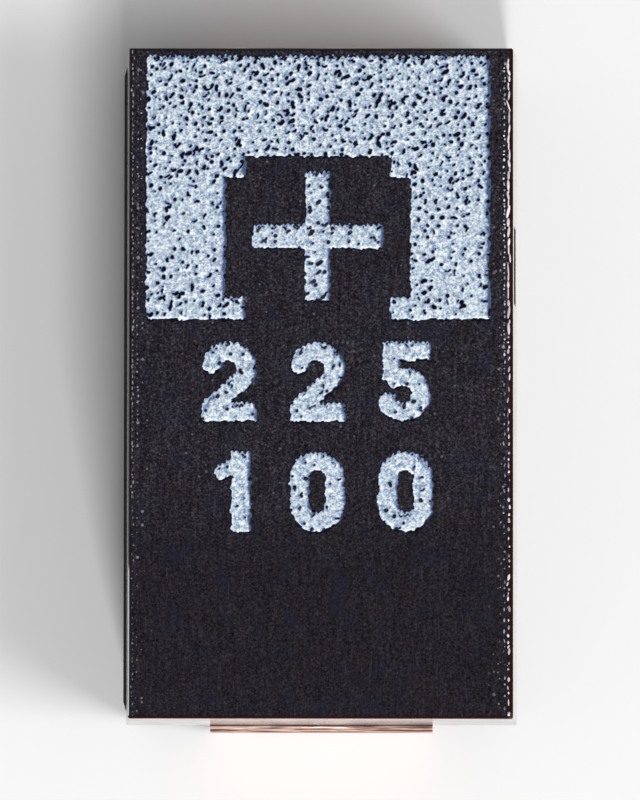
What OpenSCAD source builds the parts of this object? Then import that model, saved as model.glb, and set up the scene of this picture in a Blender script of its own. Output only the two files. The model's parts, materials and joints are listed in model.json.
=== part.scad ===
// Moulded tantalum chip capacitor in the 7343 outline, with a conductive-polymer slug inside.
// Frame, in millimetres: +Y points to the positive end, +X across the part and +Z up.
// The origin lies on the solder plane, midway between the two terminals.

/* [Moulded case] */
// Length of the case at its parting line
case_length = 7.1; // [6.9:0.05:7.6]
// Width of the case at its parting line
case_width = 4.12; // [3.96:0.02:4.6]
// Height of the top face above the solder plane
part_height = 2.8; // [2.6:0.05:3.3]
// Height of the parting line above the solder plane
parting_height = 1.4; // [1.25:0.05:1.55]
// Draft of the side walls, in degrees from upright
draft_angle = 2.5; // [1:0.5:6]
// Depth of the bevel on each upright corner, measured along the wall
corner_bevel = 0.015; // [0.01:0.005:0.05]
// Bevel round the rim of the top face
rim_bevel = 0.02; // [0.01:0.01:0.06]
// Height of the belly between the feet above the solder plane
belly_height = 0.05; // [0.02:0.01:0.09]
// Length of belly left clear in front of each foot
belly_gap = 0.25; // [0.1:0.05:0.5]
// Width of the resin flash left along the parting line
flash_width = 0.03; // [0.01:0.01:0.06]
// Length of parting line without flash at each corner
flash_gap = 0.14; // [0.1:0.02:0.4]
// Length over which the flash runs out to nothing at each end
flash_taper = 0.1; // [0.04:0.02:0.2]

/* [Gate scar and polarity band] */
// Width of the scar where the moulding gate was broken off
gate_width = 0.8; // [0.4:0.1:1.2]
// Height of the scar's lower edge above the parting line
gate_base = 0.45; // [0.2:0.05:0.5]
// Height of the gate scar
gate_height = 0.6; // [0.3:0.05:0.65]
// Depth of the gate scar
gate_depth = 0.025; // [0.015:0.005:0.05]
// Distance of the gate scar from the middle of the case, towards the positive end
gate_offset = 1.25; // [-2:0.05:2]
// Width of the lasered polarity band
band_width = 3.56; // [3.3:0.01:3.6]
// Length of the polarity band along the case
band_length = 2.74; // [2.4:0.02:3]
// Sideways shift of the whole marking from the middle of the top face
mark_shift = -0.03; // [-0.05:0.01:0.05]
// Distance from the rim of the top face to the polarity band
band_margin = 0.06; // [0.04:0.01:0.2]
// Depth to which the laser has cut the band
band_depth = 0.02; // [0.01:0.005:0.04]
// Width of the window in the band that frames the polarity sign
window_width = 1.94; // [1.6:0.02:2.2]
// Length of the window
window_length = 1.7; // [1.5:0.02:2]
// Width of the window at its stepped corners
window_neck = 1.53; // [1.2:0.01:1.55]
// Length of the steps at the window's corners
window_step = 0.22; // [0.1:0.01:0.4]

/* [Terminals] */
// Thickness of the lead-frame strip
strip_thickness = 0.1; // [0.08:0.01:0.13]
// Inside radius of the strip's bends
bend_inside = 0.1; // [0.08:0.01:0.14]
// Width of each terminal outside the case
terminal_width = 2.35; // [2:0.05:2.8]
// How far each terminal stands out past the end of the case
terminal_overhang = 0.08; // [0.05:0.01:0.14]
// Length of each foot, from the outer face of its terminal to its tip
foot_length = 1.3; // [1:0.05:1.6]
// Clearance between each foot and the case above it
foot_gap = 0.05; // [0.02:0.01:0.1]
// Clearance beside each terminal in its recess in the case
recess_gap = 0.1; // [0.05:0.01:0.2]
// Length of full-width strip gripped by the resin at each end
grip_length = 0.12; // [0.1:0.01:0.15]

/* [Inner ends of the lead frame] */
// Width of the tongue under the slug, on the negative lead
tongue_width = 2; // [1.6:0.1:2.2]
// Length of the tongue
tongue_length = 2.8; // [2:0.1:3.4]
// Steepest slope of the step in the negative lead, in degrees
tongue_slope = 80; // [60:5:85]
// Level length of the negative lead between its grip and its step
tongue_run = 0.3; // [0.1:0.05:0.6]
// Width of the tab that the wire is welded to, on the positive lead
tab_width = 1.2; // [0.8:0.1:1.6]
// Steepest slope of the step in the positive lead, in degrees
tab_slope = 45; // [40:5:60]
// Level length of the positive lead between its grip and its step
tab_run = 0.11; // [0.05:0.01:0.3]
// Length of the weld between the wire and the tab
weld_length = 0.5; // [0.3:0.02:0.8]

/* [Tantalum slug] */
// Width of the sintered slug
slug_width = 3.2; // [2.8:0.05:3.3]
// Height of the sintered slug
slug_height = 1.7; // [1.4:0.05:1.8]
// Radius of the slug's long edges
slug_corner = 0.15; // [0.08:0.01:0.3]
// Thickness of the conductive-polymer coat
polymer_coat_thickness = 0.04; // [0.03:0.005:0.05]
// Thickness of the graphite coat
graphite_coat_thickness = 0.02; // [0.015:0.005:0.03]
// Thickness of the silver coat
silver_coat_thickness = 0.04; // [0.03:0.005:0.05]
// Bare length of polymer coat in front of the graphite dip line
graphite_margin = 0.2; // [0.1:0.05:0.4]
// Bare length of graphite coat in front of the silver dip line
silver_margin = 0.15; // [0.1:0.05:0.3]
// Thickness of the silver adhesive under the slug
adhesive_thickness = 0.05; // [0.03:0.01:0.08]
// Distance of the adhesive from the tongue's edges and tip
adhesive_margin = 0.12; // [0.05:0.01:0.2]

/* [Riser wire and washer] */
// Diameter of the tantalum riser wire
wire_diameter = 0.4; // [0.3:0.02:0.5]
// Length of wire sintered into the slug
wire_depth = 3; // [2:0.1:3.6]
// Depth to which each side of the wire is flattened by the weld
weld_flat = 0.03; // [0.02:0.005:0.05]
// Outside diameter of the insulating washer
washer_diameter = 1.1; // [0.8:0.05:1.4]
// Thickness of the insulating washer
washer_thickness = 0.15; // [0.08:0.01:0.3]
// Bare wire between the washer and the tab
wire_gap = 0.2; // [0.1:0.01:0.4]

/* [Hidden] */
$fn = 48;

// The case: half sizes at the parting line and how far each half leans in
case_end = case_length / 2;
upper_height = part_height - parting_height;
lower_height = parting_height - belly_height;
rim_height = upper_height - rim_bevel;
rim_lean = rim_height * tan(draft_angle);
top_length = case_length - 2 * (rim_lean + rim_bevel);
overlap = 0.5; // how far a cutting block runs past the face that it opens

// The strip: its middle plane where it leaves the case, and the radius that its middle follows in a bend
strip_middle = parting_height - strip_thickness / 2;
bend_radius = bend_inside + strip_thickness / 2;
terminal_face = case_end + terminal_overhang;
bend_start = terminal_face - strip_thickness - bend_inside;
foot_tip = terminal_face - foot_length;
belly_end = foot_tip - belly_gap;
foot_ceiling = strip_thickness + foot_gap;

// Levels of the coats, of the wire's axis and of the leads' inner ends
slug_middle = (belly_height + part_height) / 2;
graphite_level = polymer_coat_thickness + graphite_coat_thickness;
silver_level = graphite_level + silver_coat_thickness;
silver_bottom = slug_middle - slug_height / 2 - silver_level;
tongue_top = silver_bottom - adhesive_thickness;
flat_offset = wire_diameter / 2 - weld_flat;
tab_top = slug_middle - flat_offset;

// How far each lead drops inside the case, from where it is gripped to its inner end
tongue_drop = strip_middle - (tongue_top - strip_thickness / 2);
tab_drop = strip_middle - (tab_top - strip_thickness / 2);

// A step in a strip: two equal bends and a straight leg between them, no steeper than its limit
function step_angle(drop, steepest) =
    let (by_bends = acos(max(-1, 1 - abs(drop) / (2 * bend_radius)))) min(by_bends, steepest);
function step_leg(drop, angle) =
    angle > 0 ? max(0, (abs(drop) - 2 * bend_radius * (1 - cos(angle))) / sin(angle)) : 0;
function step_reach(drop, steepest) =
    let (angle = step_angle(drop, steepest))
    2 * bend_radius * sin(angle) + step_leg(drop, angle) * cos(angle);

// The runs and turns of a step, taken after a first straight run and followed by a last one
function step_moves(first_run, drop, steepest, last_run) =
    let (angle = step_angle(drop, steepest), turn = sign(drop) * angle)
    [[first_run, turn], [step_leg(drop, angle), -turn], [last_run, 0]];

// The assembly along the case, from the positive lead inwards: step, weld, bare wire, washer and slug
grip_end = bend_start - grip_length;
tab_shelf = grip_end - tab_run;
wire_end = tab_shelf - step_reach(tab_drop, tab_slope);
tab_tip = wire_end - weld_length;
washer_front = tab_tip - wire_gap;
slug_front = washer_front - washer_thickness;
graphite_line = slug_front - graphite_margin;
silver_line = graphite_line - silver_margin;

// From the negative lead inwards: step, silver coat and slug
tongue_shelf = grip_end - tongue_run;
coated_rear = step_reach(tongue_drop, tongue_slope) - tongue_shelf;
slug_rear = coated_rear + silver_level;

// Terminal outside the case, from the tip of its foot up to its grip in the resin
terminal_moves = [
    [foot_length - strip_thickness / 2 - bend_radius, 90],
    [strip_middle - strip_thickness / 2 - 2 * bend_radius, 90],
    [grip_length, 0]
];

// A block wholly inside the strip that laps a joint between a bend and its neighbour, so that they fuse
module lap(width) {
    cube([strip_thickness / 2, strip_thickness / 2, width - strip_thickness], center = true);
}

// One bend of a strip that heads along +X and turns towards +Y, or towards -Y for a negative turn
module bend(turn, width) {
    lap(width);
    mirror([0, turn < 0 ? 1 : 0, 0])
        translate([0, bend_radius, 0])
            rotate(-90) {
                translate([0, 0, -width / 2])
                    rotate_extrude(angle = abs(turn))
                        translate([bend_inside, 0])
                            square([strip_thickness, width]);
                rotate(abs(turn))
                    translate([bend_radius, 0, 0])
                        lap(width);
            }
}

// A strip that is folded along a list of straight runs, each followed by a turn in degrees
module folded_strip(moves, width) {
    run = moves[0][0];
    turn = moves[0][1];
    if (run > 0)
        translate([0, -strip_thickness / 2, -width / 2])
            cube([run, strip_thickness, width]);
    if (turn != 0)
        translate([run, 0, 0])
            bend(turn, width);
    if (len(moves) > 1)
        translate([run + bend_radius * sin(abs(turn)), sign(turn) * bend_radius * (1 - cos(turn)), 0])
            rotate(turn)
                folded_strip([for (i = [1:len(moves) - 1]) moves[i]], width);
}

// The folded strip is drawn flat in X and Y; this stands it up in Y and Z, centred across X
module stand_up() {
    rotate([90, 0, 90])
        children();
}

// The outer part of either lead, drawn at the positive end
module terminal() {
    stand_up()
        translate([foot_tip, strip_thickness / 2, 0])
            folded_strip(terminal_moves, terminal_width);
}

// The inner part of a lead, from its grip inwards; shelf is where its step begins
module inner_lead(width, shelf, drop, steepest, flat) {
    stand_up()
        translate([grip_end, strip_middle, 0])
            rotate(180)
                folded_strip(step_moves(grip_end - shelf, drop, steepest, flat), width);
}

module anode_terminal() {
    color("silver") {
        terminal();
        inner_lead(tab_width, tab_shelf, tab_drop, tab_slope, weld_length);
    }
}

module cathode_terminal() {
    color("silver")
        mirror([0, 1, 0]) {
            terminal();
            inner_lead(tongue_width, tongue_shelf, tongue_drop, tongue_slope, tongue_length);
        }
}

// A rectangle with true round corners, centred on the origin
module rounded_rectangle(width, height, radius) {
    square([width - 2 * radius, height], center = true);
    square([width, height - 2 * radius], center = true);
    for (x = [-1, 1], y = [-1, 1])
        translate([x * (width / 2 - radius), y * (height / 2 - radius)])
            circle(radius);
}

// The slug's block, grown by a coat on its sides and rear and cut off square at front
module slug_block(grow, front) {
    rear = slug_rear - grow;
    translate([0, front, slug_middle])
        rotate([90, 0, 0])
            linear_extrude(front - rear)
                rounded_rectangle(slug_width + 2 * grow, slug_height + 2 * grow, slug_corner + grow);
}

// A rod along Y between two stations, on the wire's axis
module rod(diameter, from, to) {
    translate([0, to, slug_middle])
        rotate([90, 0, 0])
            cylinder(h = to - from, d = diameter);
}

module tantalum_slug() {
    color("dimgray")
        difference() {
            slug_block(0, slug_front);
            rod(wire_diameter, slug_front - wire_depth, slug_front + overlap);
        }
}

// Round wire, pressed flat above and below where it is welded to the tab
module riser_wire() {
    flat_length = weld_length + overlap;
    color("slategray")
        difference() {
            rod(wire_diameter, slug_front - wire_depth, wire_end);
            for (side = [-1, 1])
                translate([0, tab_tip + flat_length / 2, slug_middle + side * (flat_offset + overlap / 2)])
                    cube([wire_diameter + overlap, flat_length, overlap], center = true);
        }
}

module wire_washer() {
    color("white")
        difference() {
            rod(washer_diameter, slug_front, washer_front);
            rod(wire_diameter, slug_front - overlap, washer_front + overlap);
        }
}

module polymer_coat() {
    coat_front = slug_front + polymer_coat_thickness;
    color("midnightblue")
        difference() {
            slug_block(polymer_coat_thickness, coat_front);
            slug_block(0, slug_front);
            rod(washer_diameter, slug_front - polymer_coat_thickness, coat_front + overlap);
        }
}

module graphite_coat() {
    color("black")
        difference() {
            slug_block(graphite_level, graphite_line);
            slug_block(polymer_coat_thickness, slug_front);
        }
}

module silver_coat() {
    color("gainsboro")
        difference() {
            slug_block(silver_level, silver_line);
            slug_block(graphite_level, graphite_line);
        }
}

module silver_adhesive() {
    pad_width = tongue_width - 2 * adhesive_margin;
    pad_length = tongue_length - 2 * adhesive_margin;
    color("lightgray")
        translate([0, coated_rear + adhesive_margin + pad_length / 2, tongue_top])
            linear_extrude(adhesive_thickness)
                rounded_rectangle(pad_width, pad_length, adhesive_margin);
}

// Section through both halves of the case, from belly to rim, for a given size at the parting line
module case_section(size) {
    belly = size / 2 - lower_height * tan(draft_angle);
    rim = size / 2 - rim_lean;
    polygon([
        [-belly, belly_height],
        [belly, belly_height],
        [size / 2, parting_height],
        [rim, part_height - rim_bevel],
        [rim - rim_bevel, part_height],
        [rim_bevel - rim, part_height],
        [-rim, part_height - rim_bevel],
        [-size / 2, parting_height]
    ]);
}

// Cutters for the upright corners, which lean with the walls of each half
module corner_cutters() {
    edge_lean = atan(sqrt(2) * tan(draft_angle));
    for (x = [-1, 1], y = [-1, 1], half = [0, 1])
        translate([x * case_width / 2, y * case_length / 2, parting_height])
            mirror([0, 0, half])
                rotate([0, -edge_lean, atan2(y, x)])
                    translate([overlap - corner_bevel / sqrt(2), 0, part_height / 2])
                        cube([2 * overlap, 2 * overlap, 2 * part_height], center = true);
}

// Both halves of the moulding as one solid, before anything is cut from it
module case_block() {
    difference() {
        intersection() {
            rotate([90, 0, 0])
                linear_extrude(case_length + overlap, center = true)
                    case_section(case_width);
            rotate([90, 0, 90])
                linear_extrude(case_width + overlap, center = true)
                    case_section(case_length);
        }
        corner_cutters();
    }
}

// The thin web of resin that the mould squeezes out beside the lead frame, left on the long side away from the gate
module parting_flash() {
    wall = -case_width / 2;
    flash_end = case_length / 2 - flash_gap;
    translate([0, 0, parting_height - strip_thickness])
        linear_extrude(strip_thickness)
            polygon([
                [0, -flash_end],
                [0, flash_end],
                [wall, flash_end],
                [wall - flash_width, flash_end - flash_taper],
                [wall - flash_width, flash_taper - flash_end],
                [wall, -flash_end]
            ]);
}

// Room for one terminal: the recess behind it and the raised underside over its foot
module terminal_recess() {
    recess_width = terminal_width + 2 * recess_gap;
    translate([-recess_width / 2, bend_start, -overlap])
        cube([recess_width, terminal_overhang + case_length, parting_height + overlap]);
    translate([-case_width, belly_end, -overlap])
        cube([2 * case_width, case_length, foot_ceiling + overlap]);
}

// Shallow dish in the side wall, where the moulding gate was broken off
module gate_scar() {
    base_lean = gate_base * tan(draft_angle);
    top_lean = (gate_base + gate_height) * tan(draft_angle);
    translate([case_width / 2, gate_offset + gate_width / 2, parting_height + gate_base])
        rotate([90, 0, 0])
            linear_extrude(gate_width)
                polygon([
                    [-base_lean, 0],
                    [overlap, 0],
                    [overlap, gate_height],
                    [-top_lean, gate_height],
                    [-top_lean - gate_depth, gate_height - gate_depth],
                    [-base_lean - gate_depth, gate_depth]
                ]);
}

// Outline of the polarity band, with a stepped window that is open towards the negative end
module band_plan() {
    band_end = top_length / 2 - band_margin;
    window_end = band_end - band_length + window_length;
    difference() {
        translate([mark_shift - band_width / 2, band_end - band_length])
            square([band_width, band_length]);
        translate([mark_shift - window_neck / 2, window_end - window_length - overlap])
            square([window_neck, window_length + overlap]);
        translate([mark_shift - window_width / 2, window_end - window_length + window_step])
            square([window_width, window_length - 2 * window_step]);
    }
}

// Blocks wholly inside the embedded parts that lap their joints, so that no film of resin comes between them
module embedded_laps() {
    lap_bottom = tongue_top - strip_thickness / 2;
    lap_top = silver_bottom + silver_level;
    translate([0, tab_tip + weld_length / 2, tab_top])
        cube([weld_flat, weld_length / 2, strip_thickness], center = true);
    translate([0, coated_rear + tongue_length / 2, (lap_bottom + lap_top) / 2])
        cube([tongue_width / 2, tongue_length / 2, lap_top - lap_bottom], center = true);
}

// Everything that the resin is moulded round
module embedded_parts() {
    anode_terminal();
    cathode_terminal();
    embedded_laps();
    slug_block(polymer_coat_thickness, slug_front + polymer_coat_thickness);
    slug_block(graphite_level, graphite_line);
    slug_block(silver_level, silver_line);
    silver_adhesive();
    rod(washer_diameter, slug_front, washer_front);
    riser_wire();
}

module moulded_case() {
    color("#2b2b2f")
        difference() {
            union() {
                case_block();
                parting_flash();
            }
            for (end = [0, 1])
                mirror([0, end, 0])
                    terminal_recess();
            gate_scar();
            translate([0, 0, part_height - band_depth])
                linear_extrude(band_depth + overlap)
                    band_plan();
            embedded_parts();
        }
}

moulded_case();
anode_terminal();
cathode_terminal();
tantalum_slug();
riser_wire();
wire_washer();
polymer_coat();
graphite_coat();
silver_coat();
silver_adhesive();
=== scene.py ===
"""Looks of a moulded tantalum chip capacitor: its finishes, its lasered marking and a plain studio."""

import json
import logging
import math
from abc import ABC, abstractmethod
from dataclasses import dataclass, field
from enum import Enum
from functools import cached_property, partial, reduce
from typing import Callable

import bpy
import numpy as np
from mathutils import Euler, Matrix, Vector

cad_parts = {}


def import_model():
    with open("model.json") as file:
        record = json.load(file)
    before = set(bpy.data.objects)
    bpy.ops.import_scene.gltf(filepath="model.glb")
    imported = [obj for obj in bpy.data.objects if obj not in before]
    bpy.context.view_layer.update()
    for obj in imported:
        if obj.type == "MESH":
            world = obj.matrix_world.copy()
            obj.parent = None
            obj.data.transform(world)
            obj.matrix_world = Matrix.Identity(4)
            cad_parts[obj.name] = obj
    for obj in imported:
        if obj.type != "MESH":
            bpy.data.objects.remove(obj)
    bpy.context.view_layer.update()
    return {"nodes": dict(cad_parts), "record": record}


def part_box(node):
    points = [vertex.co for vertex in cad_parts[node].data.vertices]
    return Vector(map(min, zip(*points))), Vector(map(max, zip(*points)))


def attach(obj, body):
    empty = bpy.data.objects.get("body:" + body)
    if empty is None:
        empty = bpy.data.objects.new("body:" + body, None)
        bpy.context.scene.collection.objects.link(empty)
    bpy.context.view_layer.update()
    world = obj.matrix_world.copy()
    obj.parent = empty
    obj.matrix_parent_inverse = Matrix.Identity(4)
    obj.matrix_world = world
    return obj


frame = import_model()

LOG = logging.getLogger("capacitor")
MM = 0.001
SMOOTH_BELOW = math.radians(50)
Array = np.ndarray
Pair = tuple[float, float]
Triple = tuple[float, float, float]
Colour = Triple
Stops = tuple[tuple[float, Colour], ...]
Piece = bpy.types.Object
Socket = bpy.types.NodeSocket


# Small tools


def deselect_everything() -> None:
    """Leaves object mode with nothing selected."""
    if bpy.context.object and bpy.context.object.mode != "OBJECT":
        bpy.ops.object.mode_set(mode="OBJECT")
    bpy.ops.object.select_all(action="DESELECT")


def read_vectors(rows: bpy.types.bpy_prop_collection, label: str) -> Array:
    """Reads one vector from each vertex or face.

    Args:
        rows: a mesh's vertices or faces.
        label: the vector's name.

    Returns:
        The vectors, one to a row.
    """
    flat = np.empty(len(rows) * 3)
    rows.foreach_get(label, flat)
    return flat.reshape(-1, 3)


def record(mesh: bpy.types.Mesh, label: str, values: Array) -> None:
    """Stores a number at each vertex."""
    mesh.attributes.new(label, "FLOAT", "POINT").data.foreach_set("value", values)


@dataclass
class Bench:
    """A node tree and the few moves that every pattern makes in it."""

    tree: bpy.types.NodeTree

    def feed(self, socket: Socket, value: object) -> None:
        """Sets a socket to a constant, or links another socket to it.

        Args:
            socket: the socket.
            value: a number, a colour, a vector or another socket.
        """
        if isinstance(value, Socket):
            self.tree.links.new(value, socket)
        else:
            socket.default_value = (*value, 1.0) if socket.type == "RGBA" else value

    def add(self, kind: str, **inputs: object) -> bpy.types.Node:
        """Adds a node and fills its inputs.

        Args:
            kind: the node's type name without its first word, such as "Math".
            **inputs: values or sockets for its inputs, by name with underscores for spaces.

        Returns:
            The new node.
        """
        node = self.tree.nodes.new(f"ShaderNode{kind}")
        for name, value in inputs.items():
            self.feed(node.inputs[name.replace("_", " ")], value)
        return node

    def maths(self, operation: str, first: object, second: object = 0.0, clamp: bool = False) -> Socket:
        """Puts two numbers or sockets through a Math node.

        Args:
            operation: the node's operation, such as "MULTIPLY".
            first: the first number or socket.
            second: the second number or socket.
            clamp: whether the result is held between 0 and 1.

        Returns:
            The result.
        """
        node = self.add("Math")
        node.operation = operation
        node.use_clamp = clamp
        self.feed(node.inputs[0], first)
        self.feed(node.inputs[1], second)
        return node.outputs[0]

    def times(self, first: object, second: object, clamp: bool = False) -> Socket:
        """One number or socket times another."""
        return self.maths("MULTIPLY", first, second, clamp)

    def plus(self, first: object, second: object, clamp: bool = False) -> Socket:
        """One number or socket plus another."""
        return self.maths("ADD", first, second, clamp)

    def minus(self, first: object, second: object, clamp: bool = False) -> Socket:
        """One number or socket minus another."""
        return self.maths("SUBTRACT", first, second, clamp)

    def swing(self, tone: Socket, amount: object) -> Socket:
        """How far a tone lies from its middle, times an amount."""
        return self.times(self.minus(tone, 0.5), amount)

    def ramp(self, value: object, low: float, high: float) -> Socket:
        """Takes a smooth step from 0 to 1.

        Args:
            value: the number that rises or falls.
            low: where the step is 0. It may be the larger of the two.
            high: where the step is 1.

        Returns:
            The step.
        """
        node = self.add("MapRange", Value=value, From_Min=min(low, high), From_Max=max(low, high),
                        To_Min=float(low > high), To_Max=float(low <= high))
        node.interpolation_type = "SMOOTHSTEP"
        return node.outputs["Result"]

    def step(self, value: object, low: float, high: float) -> Socket:
        """A ramp along a coordinate, with its ends in millimetres."""
        return self.ramp(value, low * MM, high * MM)

    def tones(self, value: object, stops: Stops) -> Socket:
        """Turns a number into a colour.

        Args:
            value: the number, from 0 to 1.
            stops: each place on that range with its colour, in order.

        Returns:
            The colour.
        """
        node = self.add("ValToRGB", Fac=value)
        elements = node.color_ramp.elements
        for place, _ in stops[2:]:
            elements.new(place)
        for element, (place, colour) in zip(elements, stops):
            element.position = place
            element.color = (*colour, 1.0)
        return node.outputs["Color"]

    def blend(self, share: object, first: object, second: object) -> Socket:
        """Mixes two colours.

        Args:
            share: how much of the second colour, from 0 to 1.
            first: a colour or a socket.
            second: a colour or a socket.

        Returns:
            The mixed colour.
        """
        node = self.add("Mix")
        node.data_type = "RGBA"
        self.feed(node.inputs["Factor"], share)
        self.feed(node.inputs[6], first)
        self.feed(node.inputs[7], second)
        return node.outputs[2]

    def tint(self, colour: object, tint: object, *masks: object) -> Socket:
        """A colour with a tint laid over it as far as every mask lets it."""
        return self.blend(reduce(self.times, masks), colour, tint)

    def vector(self, operation: str, first: object, second: Triple) -> Socket:
        """Puts coordinates through a Vector Math node.

        Args:
            operation: the node's operation.
            first: the coordinates.
            second: the amount along each axis.

        Returns:
            The changed coordinates.
        """
        node = self.add("VectorMath")
        node.operation = operation
        self.feed(node.inputs[0], first)
        self.feed(node.inputs[1], second)
        return node.outputs[0]


# Shared effects


class Effect(Enum):
    """The patterns that several finishes share. Each one's value names the number that steers it."""

    GRAIN = "Contrast"
    SPECKS = "Reach"
    STREAKS = "Threshold"

    def build(self) -> bpy.types.NodeTree:
        """Builds the pattern's node group.

        Returns:
            The group. It takes a Vector, a Scale and the steering number, and gives a Tone from 0 to 1.
        """
        tree = bpy.data.node_groups.new(self.name.lower(), "ShaderNodeTree")
        for label, kind in (("Vector", "Vector"), ("Scale", "Float"), (self.value, "Float")):
            tree.interface.new_socket(label, in_out="INPUT", socket_type=f"NodeSocket{kind}")
        tree.interface.new_socket("Tone", in_out="OUTPUT", socket_type="NodeSocketFloat")
        given, result = tree.nodes.new("NodeGroupInput"), tree.nodes.new("NodeGroupOutput")
        vector, scale, steer = (given.outputs[label] for label in ("Vector", "Scale", self.value))
        bench = Bench(tree)
        if self is Effect.GRAIN:
            noise = bench.add("TexNoise", Vector=vector, Scale=scale, Detail=1.5, Roughness=0.6)
            tone = bench.plus(bench.swing(noise.outputs["Fac"], steer), 0.5, clamp=True)
        elif self is Effect.SPECKS:
            cells = bench.add("TexVoronoi", Vector=vector, Scale=scale)
            red = bench.add("SeparateColor", Color=cells.outputs["Color"]).outputs["Red"]
            reach = bench.times(bench.maths("POWER", red, 4.0), steer)
            tone = bench.times(bench.minus(reach, cells.outputs["Distance"]), 12.0, clamp=True)
        else:
            noise = bench.add("TexNoise", Vector=vector, Scale=scale, Detail=2.0, Roughness=0.5)
            tone = bench.times(bench.minus(noise.outputs["Fac"], steer), 14.0, clamp=True)
        bench.feed(result.inputs["Tone"], tone)
        return tree


@dataclass
class Coat(Bench):
    """The bench of one material, with the shared effects. Lengths are in millimetres."""

    effects: dict[Effect, bpy.types.NodeTree]

    @cached_property
    def place(self) -> Socket:
        """Object coordinates."""
        return self.add("TexCoord").outputs["Object"]

    @cached_property
    def axes(self) -> tuple[Socket, ...]:
        """Object coordinates, taken apart."""
        return tuple(self.add("SeparateXYZ", Vector=self.place).outputs)

    def paint(self, **inputs: object) -> None:
        """Feeds the material's Principled BSDF, as add feeds a new node."""
        for name, value in inputs.items():
            self.feed(self.tree.nodes["Principled BSDF"].inputs[name.replace("_", " ")], value)

    def attribute(self, name: str) -> Socket:
        """Reads a number that the mesh carries.

        Args:
            name: the attribute's name.

        Returns:
            The number.
        """
        node = self.add("Attribute")
        node.attribute_name = name
        return node.outputs["Fac"]

    def pattern(self, effect: Effect, size: float | Triple, steer: float,
                where: Socket | None = None) -> Socket:
        """Lays a shared effect over the piece.

        Args:
            effect: which one.
            size: the size of its marks, or their size along each axis.
            steer: the number that steers it.
            where: the coordinates, if they aren't the piece's own.

        Returns:
            Its tone.
        """
        vector, scale = where or self.place, 1.0
        if isinstance(size, tuple):
            vector = self.vector("MULTIPLY", vector, tuple(1 / (length * MM) for length in size))
        else:
            scale = 1 / (size * MM)
        node = self.add("Group")
        node.node_tree = self.effects[effect]
        for label, value in (("Vector", vector), ("Scale", scale), (effect.value, steer)):
            self.feed(node.inputs[label], value)
        return node.outputs["Tone"]

    def grain(self, size: float | Triple, contrast: float, where: Socket | None = None) -> Socket:
        """Even grain, or lines where its size differs along the axes."""
        return self.pattern(Effect.GRAIN, size, contrast, where)

    def bump(self, height: Socket, depth: float) -> None:
        """Roughens the surface by a pattern of heights from 0 to 1, with that depth."""
        self.paint(Normal=self.add("Bump", Height=height, Distance=depth * MM).outputs["Normal"])


# Finishes


@dataclass(frozen=True)
class Finish(ABC):
    """A procedural material. Lengths are in millimetres and colours are linear."""

    name: str
    roughness: float = 0.6
    specular: float = 0.4
    metallic: float = 0.0

    @abstractmethod
    def dress(self, coat: Coat) -> None:
        """Connects the finish's patterns.

        Args:
            coat: the material's bench.
        """

    def build(self, effects: dict[Effect, bpy.types.NodeTree]) -> bpy.types.Material:
        """Makes the material.

        Args:
            effects: the shared node groups.

        Returns:
            The finished material.
        """
        material = bpy.data.materials.new(self.name)
        material.use_nodes = True
        coat = Coat(material.node_tree, effects)
        coat.paint(Roughness=self.roughness, Specular_IOR_Level=self.specular, Metallic=self.metallic)
        self.dress(coat)
        return material


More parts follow.
